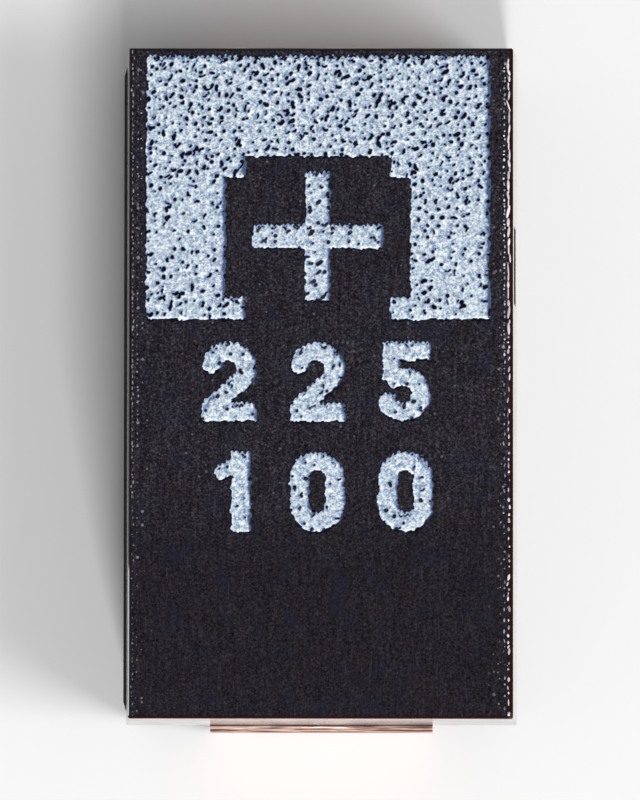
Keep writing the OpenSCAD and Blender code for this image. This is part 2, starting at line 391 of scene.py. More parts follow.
@dataclass(frozen=True)
class MouldedResin(Finish):
    """Charcoal epoxy: a grainy top, calmer towards one end, and smoother walls off the polished mould."""

    calm: Stops = (
        (0.0, (0.0010, 0.0006, 0.0016)), (0.35, (0.0088, 0.0070, 0.0108)), (0.65, (0.0160, 0.0135, 0.0192)),
        (1.0, (0.0320, 0.0285, 0.0370)),
    )
    lively: Stops = (
        (0.0, (0.0010, 0.0006, 0.0018)), (0.35, (0.0095, 0.0078, 0.0120)), (0.65, (0.0225, 0.0200, 0.0280)),
        (1.0, (0.0620, 0.0580, 0.0700)),
    )
    umber: Colour = (0.0170, 0.0080, 0.0080)
    navy: Colour = (0.0110, 0.0110, 0.0240)
    speck: Colour = (0.10, 0.096, 0.11)
    crumb: Colour = (0.19, 0.18, 0.20)
    # Painted highlight on the outer edge of the left and top lines, and the brighter painted reflection it
    # turns into near the -Y end of the left side.
    edge_highlight: Colour = (0.085, 0.080, 0.086)
    edge_reflection: Colour = (0.92, 0.90, 0.92)
    dark_edge: Colour = (0.0050, 0.0040, 0.0050)
    red_edge: Colour = (0.0170, 0.0024, 0.0024)
    # A brown patch at the +X, -Y corner of the top face.
    brown_corner: Colour = (0.0500, 0.0230, 0.0180)
    wall_tones: tuple[Colour, Colour] = ((0.0160, 0.0130, 0.0150), (0.026, 0.022, 0.025))
    # Tones of the rough gate scar. Their darker end partly paints the shade inside its recess.
    gate_tones_and_shade: tuple[Colour, Colour] = ((0.0020, 0.0010, 0.0010), (0.0300, 0.0210, 0.0200))
    umber_range: Pair = (0.62, 1.0)
    umber_share: float = 0.14
    navy_range: Pair = (0.42, 0.0)
    navy_share: float = 0.42
    scratch_share: float = 0.17
    column_share: float = 0.35
    grain_size: float = 0.021
    column_size: Triple = (0.035, 0.30, 0.30)
    scratch_size: Triple = (0.018, 0.30, 0.30)
    scratch_threshold: float = 0.66
    cloud_size: float = 0.32
    speck_size: float = 0.07
    speck_reach: float = 0.26
    crumb_size: float = 0.05
    crumb_reach: float = 0.40
    crumb_zone: Pair = (0.30, 0.05)
    chip_size: float = 0.06
    top: float = 2.8
    wall_start: Pair = (0.015, 0.02)
    # Depths below the top between which the painted edge highlight comes in.
    highlight_start: Pair = (0.008, 0.011)
    rim_line: float = 0.012
    edge_soft: float = 0.004
    fray: float = 0.022
    corner_size: Pair = (0.03, 0.06)
    half_width: float = 1.98
    half_length: float = 3.47
    calm_zone: Pair = (-2.2, -0.6)
    # Where the left line's painted highlight turns into the brighter painted reflection.
    reflection_zone: Pair = (-1.87, -1.97)
    wall_roughness: float = 0.2
    gate_roughness: float = 0.95
    polish: float = 0.12
    glaze: Pair = (0.55, 0.45)
    dust: float = 0.12
    dust_roughness: float = 0.4
    dust_tint: Colour = (1.0, 0.86, 0.84)
    gate_zone: tuple[Pair, Pair] = ((0.85, 1.65), (1.85, 2.45))
    gate_wall: Pair = (1.8, 1.85)
    gate_soft: float = 0.012
    gate_fray: float = 0.035
    relief: float = 0.0018
    flat_wall: float = 0.8

    def face(self, coat: Coat, tone: Socket, cloud: Socket) -> Socket:
        """Colours the top face with its grain, its clouds, specks, crumbs and scratches.

        Args:
            coat: the material's bench.
            tone: the grain with its columns.
            cloud: the tone of the brown and blue patches.

        Returns:
            The colour.
        """
        x, y, _ = coat.axes
        life = coat.step(y, *self.calm_zone)
        colour = coat.blend(life, coat.tones(tone, self.calm), coat.tones(tone, self.lively))
        colour = coat.tint(colour, self.umber, coat.ramp(cloud, *self.umber_range), self.umber_share)
        colour = coat.tint(colour, self.navy, coat.ramp(cloud, *self.navy_range), self.navy_share)
        specks = coat.pattern(Effect.SPECKS, self.speck_size, self.speck_reach)
        colour = coat.tint(colour, self.speck, specks, life)
        across = coat.maths("ABSOLUTE", x)
        beside = coat.step(across, *(self.half_width - inset for inset in self.crumb_zone))
        crumbs = coat.pattern(Effect.SPECKS, self.crumb_size, self.crumb_reach)
        colour = coat.tint(colour, self.crumb, crumbs, beside)
        scratches = coat.pattern(Effect.STREAKS, self.scratch_size, self.scratch_threshold)
        return coat.tint(colour, self.speck, scratches, self.scratch_share)

    def edged(self, coat: Coat, grain: Socket, colour: Socket) -> Socket:
        """Draws the lines round the top face: red-brown on two sides, dark on the others. The outer edge of
        the dark lines is a painted highlight, and near the -Y end of the left side it turns into a brighter
        painted reflection.

        Args:
            coat: the material's bench.
            grain: the fine tone that frays the red-brown lines.
            colour: the colour of the face.

        Returns:
            The colour with its edge lines.
        """
        x, y, z = coat.axes
        side, end, soft = self.half_width - self.rim_line, self.half_length - self.rim_line, self.edge_soft
        fray, near = coat.swing(grain, self.fray * MM), 0.6 * self.rim_line
        right = coat.step(coat.plus(x, fray), side - near, side + soft)
        bottom = coat.step(coat.plus(y, fray), near - end, -end - soft)
        left = coat.step(x, -side - soft, -side - 2 * soft)
        top = coat.step(y, end + soft, end + 2 * soft)
        # The outer part of the left and top lines is a painted highlight, and a brighter painted reflection
        # near the -Y end of the left side.
        outer = coat.step(z, *(self.top - depth for depth in self.highlight_start))
        lit_edge = coat.blend(coat.step(y, *self.reflection_zone), self.edge_highlight, self.edge_reflection)
        dark = coat.blend(outer, self.dark_edge, lit_edge)
        colour = coat.tint(colour, dark, coat.maths("MAXIMUM", left, top))
        colour = coat.tint(colour, self.red_edge, coat.maths("MAXIMUM", right, bottom))
        across, along = self.corner_size
        corner = (coat.step(x, side - across, side), coat.step(y, along - end, -end))
        return coat.tint(colour, self.brown_corner, *corner)

    def in_gate(self, coat: Coat, chips: Socket) -> Socket:
        """Finds the ragged scar that the gate left on one wall.

        Args:
            coat: the material's bench.
            chips: the tone that makes its outline ragged.

        Returns:
            1 in the scar and 0 outside it.
        """
        x, y, z = coat.axes
        ragged = coat.swing(chips, self.gate_fray * MM)
        inside = coat.step(x, *self.gate_wall)
        for axis, (low, high) in zip((y, z), self.gate_zone):
            value = coat.plus(axis, ragged)
            inside = coat.times(inside, coat.step(value, low - self.gate_soft, low))
            inside = coat.times(inside, coat.step(value, high + self.gate_soft, high))
        return inside

    def dress(self, coat: Coat) -> None:
        """Connects the face, its edge lines with their painted highlight, the polished walls and the gate
        scar with its partly painted shade.

        Args:
            coat: the material's bench.
        """
        fine = coat.grain(self.grain_size, 2.0)
        columns = coat.grain(self.column_size, 1.6)
        cloud = coat.grain(self.cloud_size, 2.2)
        chips = coat.grain(self.chip_size, 2.6)
        tone = coat.plus(fine, coat.swing(columns, self.column_share), clamp=True)
        on_wall = coat.step(coat.axes[2], *(self.top - depth for depth in self.wall_start))
        in_gate = self.in_gate(coat, chips)
        colour = self.edged(coat, fine, self.face(coat, tone, cloud))
        colour = coat.tint(colour, coat.blend(tone, *self.wall_tones), on_wall)
        # The gate scar is rough broken resin, and its darker tones partly paint the shade in the recess.
        colour = coat.tint(colour, coat.blend(chips, *self.gate_tones_and_shade), in_gate)
        rough = coat.minus(self.roughness, coat.times(on_wall, self.roughness - self.wall_roughness))
        rough = coat.plus(rough, coat.times(in_gate, self.gate_roughness - self.wall_roughness), clamp=True)
        polished = coat.minus(on_wall, in_gate, clamp=True)
        glaze = coat.plus(self.glaze[0], coat.times(cloud, self.glaze[1]))
        coat.paint(Base_Color=colour, Roughness=rough, Coat_Weight=coat.times(polished, glaze),
                   Coat_Roughness=self.polish, Sheen_Weight=coat.times(polished, self.dust),
                   Sheen_Roughness=self.dust_roughness, Sheen_Tint=self.dust_tint)
        relief = coat.plus(tone, coat.grain(5 * self.grain_size, 1.2))
        flatter = coat.minus(1.0, coat.times(on_wall, self.flat_wall))
        coat.bump(coat.times(relief, flatter), self.relief)


@dataclass(frozen=True)
class LaseredResin(Finish):
    """Resin burnt pale and blue-white by the laser, slate-blue round its sooty pits, with painted light and
    shade on its relief and a painted blue shade and shadow line along its edges.
    """

    skin: Stops = (
        (0.0, (0.10, 0.155, 0.25)), (0.3, (0.26, 0.335, 0.45)), (0.52, (0.45, 0.535, 0.62)),
        (0.72, (0.63, 0.705, 0.76)), (0.88, (0.77, 0.82, 0.855)), (1.0, (0.92, 0.94, 0.95)),
    )
    blush: Colour = (0.56, 0.50, 0.60)
    slate: Colour = (0.12, 0.18, 0.34)
    # Near-black of the sooty pits, which is also the colour of the painted shadow line.
    soot_and_shade: Colour = (0.0035, 0.0035, 0.0065)
    mottle: float = 0.055
    blush_shift: Triple = (7 * MM, 3 * MM, 0)
    blush_range: Pair = (0.6, 1.0)
    blush_share: float = 0.28
    slate_range: Pair = (0.05, 0.5)
    soot_and_shade_range: Pair = (0.42, 0.72)
    grain_size: float = 0.021
    # How far the painted relief light and shade raise or lower the tone.
    relief_light_share: float = 0.42
    relief: float = 0.0025

    def dress(self, coat: Coat) -> None:
        """Connects the mottle, the grain, the blush, the painted relief light and shade, the slate-blue with
        its painted edge shade, and the sooty dark with the painted shadow line.

        Args:
            coat: the material's bench.
        """
        fine = coat.grain(self.grain_size, 3.4)
        tone = coat.times(coat.plus(coat.grain(self.mottle, 2.4), fine), 0.5)
        # Painted relief light and shade: lighter on the lit side of the pits and along the lower and left
        # edges, darker on the far side.
        tone = coat.plus(tone, coat.times(coat.attribute("relief_light"), self.relief_light_share), clamp=True)
        pink = coat.grain(self.mottle, 2.4, coat.vector("ADD", coat.place, self.blush_shift))
        colour = coat.tones(tone, self.skin)
        colour = coat.tint(colour, self.blush, coat.ramp(pink, *self.blush_range), self.blush_share)
        # This attribute holds the real sooty pits and notches together with the painted edge shade and shadow
        # line.
        soot_and_shade = coat.attribute("soot_and_shade")
        colour = coat.tint(colour, self.slate, coat.ramp(soot_and_shade, *self.slate_range))
        coat.paint(Base_Color=coat.tint(colour, self.soot_and_shade, coat.ramp(soot_and_shade, *self.soot_and_shade_range)))
        coat.bump(fine, self.relief)


@dataclass(frozen=True)
class BlisteredResin(Finish):
    """Small blisters of resin, each painted as pale as its own attribute says: a painted highlight, stronger
    on the rows towards the light.
    """

    # The blisters' own dark tone, and the colour of their painted highlight.
    dull: Colour = (0.030, 0.028, 0.034)
    pale: Colour = (0.86, 0.82, 0.84)
    grain_size: float = 0.02
    relief: float = 0.002

    def dress(self, coat: Coat) -> None:
        """Connects each blister's painted highlight and the grain.

        Args:
            coat: the material's bench.
        """
        fine = coat.grain(self.grain_size, 1.4)
        share = coat.plus(coat.attribute("glint"), coat.swing(fine, 0.25), clamp=True)
        coat.paint(Base_Color=coat.blend(share, self.dull, self.pale))
        coat.bump(fine, self.relief)


@dataclass(frozen=True)
class PlatedStrip(Finish):
    """Tin-plated copper strip: pale and warm, drawn across its width, with painted shade where it leaves the
    resin and a painted dark reflection along its bend.
    """

    plate: Stops = (
        (0.0, (0.05, 0.018, 0.014)), (0.3, (0.23, 0.115, 0.092)), (0.5, (0.47, 0.29, 0.235)),
        (0.75, (0.79, 0.56, 0.47)), (1.0, (0.94, 0.84, 0.78)),
    )
    # Painted shade where the strip leaves the resin.
    root_shade: Colour = (0.012, 0.010, 0.016)
    # Painted dark reflection along the bend.
    bend_shade: Colour = (0.085, 0.028, 0.024)
    exit_line: float = 3.556
    exit_height: float = 1.25
    bend_line: float = 3.606
    # Width of the painted dark reflection along the bend.
    bend_shade_width: float = 0.009
    bend_drift: float = 0.016
    drift_size: Triple = (0.22, math.inf, math.inf)
    line_size: Triple = (0.40, 0.016, 0.04)
    wear_size: float = 0.16
    calm_lines: float = 0.3
    level: float = 0.36
    line_share: float = 0.75
    wear_share: float = 0.28
    # Where the drawn lines let the painted bend reflection through.
    bend_shade_range: Pair = (0.75, 0.45)
    relief: float = 0.003

    def dress(self, coat: Coat) -> None:
        """Connects the drawn lines, the plating's wear, the painted shade at the resin and the painted dark
        reflection at the bend.

        Args:
            coat: the material's bench.
        """
        _, y, z = coat.axes
        lines = coat.grain(self.line_size, 2.4)
        wear = coat.grain(self.wear_size, 1.3)
        above = coat.step(z, self.exit_height - 0.05, self.exit_height)
        drawn = coat.swing(lines, coat.plus(self.calm_lines, coat.times(above, 1.0 - self.calm_lines)))
        plate = coat.plus(self.level, coat.times(wear, self.wear_share))
        tone = coat.plus(coat.times(drawn, self.line_share), plate)
        along = coat.maths("ABSOLUTE", y)
        near_case = coat.step(along, self.exit_line + 0.018, self.exit_line)
        # Painted shade on the strip right where it leaves the case.
        colour = coat.tint(coat.tones(tone, self.plate), self.root_shade, near_case, above)
        # Painted dark reflection along the bend, broken up by the drawn lines.
        wander = coat.swing(coat.grain(self.drift_size, 2.4), self.bend_drift * MM)
        offset = coat.maths("ABSOLUTE", coat.minus(coat.plus(along, wander), self.bend_line * MM))
        shaded_bend = coat.step(offset, self.bend_shade_width, 0.4 * self.bend_shade_width)
        colour = coat.tint(colour, self.bend_shade, shaded_bend, coat.ramp(lines, *self.bend_shade_range), above)
        coat.paint(Base_Color=colour, Roughness=coat.plus(self.roughness - 0.1, coat.times(wear, 0.2)))
        coat.bump(lines, self.relief)


@dataclass(frozen=True)
class GrainyCoat(Finish):
    """A plain coat or sinter: two tones of one colour in a grain of its own size."""

    dark: Colour = (0.02, 0.02, 0.02)
    light: Colour = (0.05, 0.05, 0.05)
    grain_size: float = 0.03
    relief: float = 0.004

    def dress(self, coat: Coat) -> None:
        """Connects the grain.

        Args:
            coat: the material's bench.
        """
        fine, wide = coat.grain(self.grain_size, 2.0), coat.grain(7 * self.grain_size, 1.4)
        tone = coat.times(coat.plus(fine, wide), 0.5)
        coat.paint(Base_Color=coat.blend(tone, self.dark, self.light))
        coat.bump(tone, self.relief)


FINISHES: dict[str, Finish] = {finish.name: finish for finish in (
    MouldedResin("case_resin", roughness=0.6, specular=0.06),
    PlatedStrip("plated_strip", roughness=0.38, metallic=0.8),
    GrainyCoat("sintered_tantalum", 0.7, 0.4, 0.6, (0.03, 0.03, 0.034), (0.12, 0.12, 0.13), 0.02),
    GrainyCoat("tantalum_wire", 0.35, 0.5, 0.95, (0.20, 0.21, 0.25), (0.34, 0.35, 0.40), 0.03, 0.001),
    GrainyCoat("washer_resin", 0.5, 0.4, 0.0, (0.62, 0.62, 0.60), (0.80, 0.80, 0.78), 0.05, 0.002),
    GrainyCoat("conductive_polymer", 0.4, 0.5, 0.0, (0.006, 0.008, 0.02), (0.015, 0.02, 0.045)),
    GrainyCoat("graphite", 0.65, 0.4, 0.0, (0.008, 0.008, 0.008), (0.03, 0.03, 0.03)),
    GrainyCoat("silver_paint", 0.5, 0.5, 0.6, (0.42, 0.42, 0.40), (0.66, 0.66, 0.63), 0.025),
    GrainyCoat("silver_glue", 0.6, 0.5, 0.5, (0.34, 0.34, 0.33), (0.56, 0.56, 0.54), 0.04),
    LaseredResin("lasered_resin", roughness=0.85, specular=0.05),
    BlisteredResin("blistered_resin", roughness=0.45, specular=0.4),
)}


@dataclass
class Wardrobe:
    """Every material, made when it is first asked for."""

    effects: dict[Effect, bpy.types.NodeTree]
    made: dict[str, bpy.types.Material] = field(default_factory=dict)

    def wear(self, piece: Piece, name: str) -> None:
        """Gives a piece one material all over.

        Args:
            piece: the piece.
            name: the material's name.
        """
        if name not in self.made:
            self.made[name] = FINISHES[name].build(self.effects)
        piece.data.materials.clear()
        piece.data.materials.append(self.made[name])
        LOG.info("dressed %s in %s", piece.name, name)

    def finish(self, piece: Piece, name: str) -> None:
        """Smooths and dresses a new piece of the case's resin, and lets it ride the part.

        Args:
            piece: the piece.
            name: the material's name.
        """
        deselect_everything()
        piece.select_set(True)
        bpy.ops.object.shade_smooth_by_angle(angle=SMOOTH_BELOW)
        self.wear(piece, name)
        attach(piece, "root")


# The CAD parts


@dataclass
class CapacitorBody:
    """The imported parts, which keep their shapes and only get their finishes."""

    wardrobe: Wardrobe

    def dress(self) -> None:
        """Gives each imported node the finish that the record's slot names."""
        slots = {row["node"]: row["material_slot"] for row in frame["record"]["subparts"]}
        for name, piece in frame["nodes"].items():
            self.wardrobe.wear(piece, slots[name])


# Outlines of the marking


@dataclass(frozen=True)
class Spots:
    """Places on the top face, in millimetres. Their distances from a shape are less than 0 inside it."""

    x: Array
    y: Array

    def moved(self, x: float, y: float) -> "Spots":
        """The same places, moved."""
        return Spots(self.x + x, self.y + y)

    def noise(self, pitch: float, seed: int) -> Array:
        """Lays smooth random ripples over the places.

        Args:
            pitch: the distance between ripples.
            seed: which ripples.

        Returns:
            Values from -1 to 1.
        """
        size = 256
        lattice = np.random.default_rng(seed).uniform(-1.0, 1.0, (size, size))
        u, v = self.x / pitch, self.y / pitch
        column, row = np.floor(u).astype(int), np.floor(v).astype(int)
        s, t = u - column, v - row
        s, t = s * s * (3 - 2 * s), t * t * (3 - 2 * t)
        near, far = column % size, (column + 1) % size
        low, high = row % size, (row + 1) % size
        bottom = lattice[low, near] * (1 - s) + lattice[low, far] * s
        top = lattice[high, near] * (1 - s) + lattice[high, far] * s
        return bottom * (1 - t) + top * t

    def rectangle(self, low: Pair, high: Pair) -> Array:
        """Measures the distance to a rectangle.

        Args:
            low: its lowest corner.
            high: its highest corner.

        Returns:
            The distances.
        """
        across = np.abs(self.x - (low[0] + high[0]) / 2) - (high[0] - low[0]) / 2
        along = np.abs(self.y - (low[1] + high[1]) / 2) - (high[1] - low[1]) / 2
        outside = np.hypot(np.maximum(across, 0), np.maximum(along, 0))
        return outside + np.minimum(np.maximum(across, along), 0)

    def stroke(self, start: Pair, end: Pair, width: float) -> Array:
        """Measures the distance to a straight stroke with round ends.

        Args:
            start: where the stroke starts.
            end: where it ends.
            width: its width.

        Returns:
            The distances.
        """
        run = (end[0] - start[0], end[1] - start[1])
        dx, dy = self.x - start[0], self.y - start[1]
        share = np.clip((dx * run[0] + dy * run[1]) / max(run[0] ** 2 + run[1] ** 2, 1e-12), 0, 1)
        return np.hypot(dx - share * run[0], dy - share * run[1]) - width / 2

    def arc(self, centre: Pair, radius: float, turn: Pair, width: float) -> Array:
        """Measures the distance to a curved stroke with round ends.

        Args:
            centre: the arc's centre.
            radius: the radius of its middle line.
            turn: where it starts and ends, in degrees anticlockwise from +X.
            width: its width.

        Returns:
            The distances.
        """
        dx, dy = self.x - centre[0], self.y - centre[1]
        on_arc = (np.degrees(np.arctan2(dy, dx)) - turn[0]) % 360 <= turn[1] - turn[0]
        ends = [np.hypot(dx - radius * math.cos(end), dy - radius * math.sin(end))
                for end in map(math.radians, turn)]
        return np.where(on_arc, np.abs(np.hypot(dx, dy) - radius), np.minimum(*ends)) - width / 2


Outline = Callable[[Spots], Array]


class Numeral(Enum):
    """The plain numerals that the marking uses."""

    ZERO = "0"
    ONE = "1"
    TWO = "2"
    FIVE = "5"


@dataclass(frozen=True)
class Lettering:
    """The proportions that every numeral shares, in millimetres."""

    width: float = 0.55
    height: float = 0.82
    weight: float = 0.185

    def distance(self, numeral: Numeral, at: Spots) -> Array:
        """Measures the distance to a numeral that stands round the origin.

        Args:
            numeral: which one.
            at: the places.

        Returns:
            The distances.
        """
        top, side, weight = self.height / 2, self.width / 2, self.weight
        bowl = (self.width - weight) / 2
        if numeral is Numeral.ZERO:
            straight = (self.height - self.width) / 2
            return np.abs(np.hypot(at.x, np.maximum(np.abs(at.y) - straight, 0)) - bowl) - weight / 2
        if numeral is Numeral.ONE:
            left = 0.03
            flag = at.stroke((left - 0.1, top - 0.21), (left + 0.08, top - 0.11), 0.8 * weight)
            return np.minimum(at.rectangle((left, -top), (left + weight, top)), flag)
        if numeral is Numeral.TWO:
            level, leave = top - weight / 2 - bowl, math.radians(-35)
            hook = at.arc((0, level), bowl, (-35, 165), weight)
            shoulder = (bowl * math.cos(leave), level + bowl * math.sin(leave))
            slope = at.stroke(shoulder, (-side + 0.1, -top + 0.14), weight)
            return np.minimum(np.minimum(hook, slope), at.rectangle((-side, -top), (side, -top + weight)))
        left = -side + 0.04
        cap = at.rectangle((left, top - weight), (side - 0.02, top))
        stem = at.rectangle((left, 0.02), (left + 0.9 * weight, top))
        belly = at.arc((-0.02, -top + weight / 2 + bowl), bowl, (-155, 115), weight)
        return np.minimum(np.minimum(cap, stem), belly)


@dataclass(frozen=True)
class BandPocket:
    """Where the case's pocket for the polarity band lies, in millimetres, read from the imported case."""

    low: Pair
    high: Pair
    window: tuple[Pair, Pair]
    neck: Pair
    window_top: float
    floor: float
    rim: float

    @classmethod
    def find(cls, case: Piece) -> "BandPocket":
        """Measures the pocket.

        Args:
            case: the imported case.

        Returns:
            The pocket's outline and levels.
        """
        points = np.unique((read_vectors(case.data.vertices, "co") / MM).round(3), axis=0)
        rim = points[:, 2].max()
        at_rim = {(x, y) for x, y, z in points if z == rim}
        below = np.array([(x, y, z) for x, y, z in points if z < rim and (x, y) in at_rim])
        floor = below[:, 2].max()
        wall = below[below[:, 2] == floor]
        across, along = np.unique(wall[:, 0]), np.unique(wall[:, 1])
        LOG.info("band pocket at %s x %s", across, along)
        return cls((across[0], along[0]), (across[-1], along[-1]),
                   ((across[1], along[1]), (across[4], along[2])), (across[2], across[3]), along[3],
                   float(floor), float(rim))

    def distance(self, at: Spots) -> Array:
        """The distance to the band's outline."""
        neck = at.rectangle((self.neck[0], self.low[1] - 1.0), (self.neck[1], self.window_top))
        return np.maximum(at.rectangle(self.low, self.high), -np.minimum(neck, at.rectangle(*self.window)))


# The lasered marking


@dataclass(frozen=True)
class Pit:
    """One pit: a short bent worm, fat at one end. Lengths are in millimetres."""

    head: Pair
    middle: Pair
    tail: Pair
    fat: float
    thin: float

    def distance(self, at: Spots) -> Array:
        """The distance to the pit's rim."""
        return np.minimum(at.stroke(self.head, self.middle, 2 * self.fat),
                          at.stroke(self.middle, self.tail, 2 * self.thin))

    def near(self, at: Spots) -> Array:
        """Which places are so close to the pit that it can matter."""
        reach = max(math.dist(self.middle, self.head), math.dist(self.middle, self.tail)) + self.fat + 0.03
        return np.nonzero(np.maximum(np.abs(at.x - self.middle[0]), np.abs(at.y - self.middle[1])) < reach)[0]


@dataclass
class LaserMark:
    """One mark that the laser has burnt into the top face. Lengths are in millimetres."""

    name: str
    outline: Outline
    low: Pair
    high: Pair
    top: float
    bottom: float
    seed: int
    pits_per_mm2: float
    crowded_above: float = math.inf
    sparse_below: float = -math.inf
    thinned: Pair = (0.52, 0.82)
    cell: float = 0.01
    proud: float = 0.004
    ragged: float = 0.0125
    comb_pitch: float = 0.052
    comb_depth: float = 0.026
    notch_line: float = 0.034
    # Widths of the painted shadow line round the mark: everywhere, below, and on the right.
    shadow_line: float = 0.009
    lower_shadow_line: float = 0.021
    right_shadow_line: float = 0.024
    # Reach of the painted shade flecks inside the right-facing edges.
    shade_fringe: float = 0.028
    swell: Triple = (0.008, -0.011, 0.008)
    pit_radius: Pair = (0.008, 0.020)
    pit_length: float = 0.058
    pit_lean: Pair = (0.95, 0.65)
    pit_depth: float = 0.012
    pit_soft: float = 0.012
    halo: Pair = (0.35, 0.02)
    # Reach of each pit's painted relief light and shade.
    relief_light_reach: float = 0.032
    wobble: float = 0.004
    # Strength and reach of the painted blue shade inside the edges that face right and up, away from the
    # light.
    edge_shade: Pair = (0.5, 0.03)
    notch_soot: float = 0.85
    notch_width: float = 0.016
    # Strength of the painted shade flecks.
    fleck_shade: float = 0.30
    # Softness of the painted shadow line's inner edge, and how much lighter it is painted on the right.
    border: float = 0.008
    right_shadow_fade: float = 0.43
    shoulder: float = 0.02
    ripples: Pair = (0.003, 0.0015)
    # Direction towards the side of each pit that is painted lit.
    lit_side: Pair = (0.94, -0.34)

    def noise(self, at: Spots, pitch: float, layer: int = 0) -> Array:
        """The mark's own ripples, from -1 to 1."""
        return at.noise(pitch, self.seed + layer)

    def facing(self, at: Spots) -> tuple[Array, Array]:
        """Which way the nearest edge faces across and along, as the slope of the outline's distance."""
        plain, step = self.outline(at), 0.01
        return tuple((self.outline(at.moved(*move)) - plain) / step for move in ((step, 0), (0, step)))

    def worn_outline(self, at: Spots) -> Array:
        """Measures the distance to the pale skin with the laser's ragged edge.

        Args:
            at: the places.

        Returns:
            The distances.
        """
        across, along = self.facing(at)
        tooth = np.abs(np.sin(math.pi * at.x / self.comb_pitch + 3 * self.noise(at, 0.25, 5)))
        ripple = self.noise(at, 0.042) + 0.7 * self.noise(at, 0.021, 1)
        to_left, to_right, upright = self.swell
        swollen = to_left * np.clip(-across, 0, 1) + to_right * np.clip(across, 0, 1)
        swollen = swollen + upright * np.abs(along)
        comb = self.comb_depth * np.clip(along, 0, 1) * (1 - tooth)
        return self.outline(at) - swollen + self.ragged * ripple + comb

    def shadowed_outline(self, at: Spots) -> Array:
        """Measures the distance to the skin with the thin painted shadow line round it, wider below and on
        the right.

        Args:
            at: the places.

        Returns:
            The distances.
        """
        across, along = self.facing(at)
        width = self.shadow_line + (self.right_shadow_line - self.shadow_line) * np.clip(across, 0, 1)
        width = width + (self.lower_shadow_line - self.shadow_line) * np.clip(-along, 0, 1)
        return self.worn_outline(at) - width * (0.8 + 0.4 * self.noise(at, 0.06, 9))

    def pits(self) -> list[Pit]:
        """Places the pits on a shaken grid.

        Returns:
            The pits.
        """
        random = np.random.default_rng(self.seed + 11)
        pitch = 1 / math.sqrt(self.pits_per_mm2)
        thinnest, fattest = self.pit_radius
        made = []
        for row in np.arange(self.low[1], self.high[1], pitch):
            share = 1.0 if row > self.crowded_above else self.thinned[int(row >= self.sparse_below)]
            for column in np.arange(self.low[0], self.high[0], pitch):
                middle = np.array((column, row)) + random.uniform(0.06, 0.94, 2) * pitch
                turn, bend = random.normal(*self.pit_lean), random.uniform(-1.3, 1.3)
                run = self.pit_length / 2 * random.uniform(0, 1) ** 1.6
                fat = thinnest + (fattest - thinnest) * random.uniform(0, 1) ** 1.4
                head = middle + run * np.array((math.cos(turn), math.sin(turn)))
                tail = middle - run * np.array((math.cos(turn + bend), math.sin(turn + bend)))
                if random.uniform(0, 1) < share:
                    thin = fat * random.uniform(0.5, 0.9)
                    made.append(Pit(tuple(head), tuple(middle), tuple(tail), fat, thin))
        return made

    def burn(self, at: Spots) -> tuple[Array, Array]:
        """How sooty and how shaded the skin is at each place, and how much lighter or darker it is painted
        for its relief.

        Args:
            at: the places.

        Returns:
            The sooty dark with its painted shade, from 0 on the pale skin to 1 in a pit or on the painted
            shadow line, and the painted relief light and shade, from -1 for painted shade to 1 for a painted
            highlight.
        """
        dark, relief_light = np.zeros_like(at.x), np.zeros_like(at.x)
        wobble = self.wobble * self.noise(at, 0.022, 3)
        for pit in self.pits():
            near = pit.near(at)
            spots = Spots(at.x[near], at.y[near])
            distance = pit.distance(spots) + wobble[near]
            core = np.clip(0.6 - distance / self.pit_soft, 0, 1)
            halo = self.halo[0] * np.clip(1 - distance / self.halo[1], 0, 1)
            dark[near] = np.maximum(dark[near], np.maximum(core, halo))
            out = spots.moved(-pit.middle[0], -pit.middle[1])
            # Each pit is painted lighter on its side towards the light and darker on the other side.
            ahead = out.x * self.lit_side[0] + out.y * self.lit_side[1]
            ahead = ahead / np.maximum(np.hypot(out.x, out.y), 0.002)
            relief_light[near] += ahead * np.clip(1 - distance / self.relief_light_reach, 0, 1)
        edge = self.worn_outline(at)
        slopes = self.facing(at)
        right, left, up, down = (np.clip(side, 0, 1) for slope in slopes for side in (slope, -slope))
        inside = np.clip(1 + edge / self.edge_shade[1], 0, 1)
        nibble = np.clip(0.5 + 0.9 * self.noise(at, 0.03, 13), 0, 1)
        # Painted blue shade inside the edges that face right and up.
        edge_shade = self.edge_shade[0] * (right + up) * nibble * inside
        notch = np.clip(3 * self.noise(Spots(at.x, 0.4 * at.y), 0.034, 17) - 0.2, 0, 1)
        notch *= up * np.exp(-((edge + self.notch_line) / self.notch_width) ** 2)
        # Painted shade in flecks inside the right-facing edges.
        fleck = np.clip(1 + 1.1 * self.noise(at, 0.022, 19), 0, 1.5)
        fleck *= right * np.clip(1 + edge / self.shade_fringe, 0, 1)
        # Painted shadow line round the mark, lighter on the right.
        border = np.clip(0.5 + edge / self.border, 0, 1) * (1 - self.right_shadow_fade * right)
        # Real sooty pits and notches, with the painted edge shade and shadow line.
        soot_and_shade = reduce(np.maximum, (dark, self.notch_soot * notch, self.fleck_shade * fleck, edge_shade, border))
        # Lower and left edges are painted lighter and top edges are painted darker, as if lit from below.
        return soot_and_shade, np.clip(relief_light + (down + 0.5 * left - 0.5 * up) * inside, -1, 1)

    @property
    def cells(self) -> tuple[int, int]:
        """How many cells of the sheet lie across and along."""
        return tuple(round((high - low) / self.cell) for low, high in zip(self.low, self.high))

    def lay_sheet(self) -> Piece:
        """Adds the flat sheet that the mark is cut from, one unit square.

        Returns:
            The sheet.
        """
        deselect_everything()
        bpy.ops.mesh.primitive_grid_add(x_subdivisions=self.cells[0], y_subdivisions=self.cells[1], size=1.0)
        piece = bpy.context.object
        piece.name = piece.data.name = self.name
        return piece

    def spread(self, across: Array, along: Array) -> Spots:
        """Places on the face for shares of the sheet's width and length, from 0 to 1."""
        return Spots(self.low[0] + across * (self.high[0] - self.low[0]),
                     self.low[1] + along * (self.high[1] - self.low[1]))

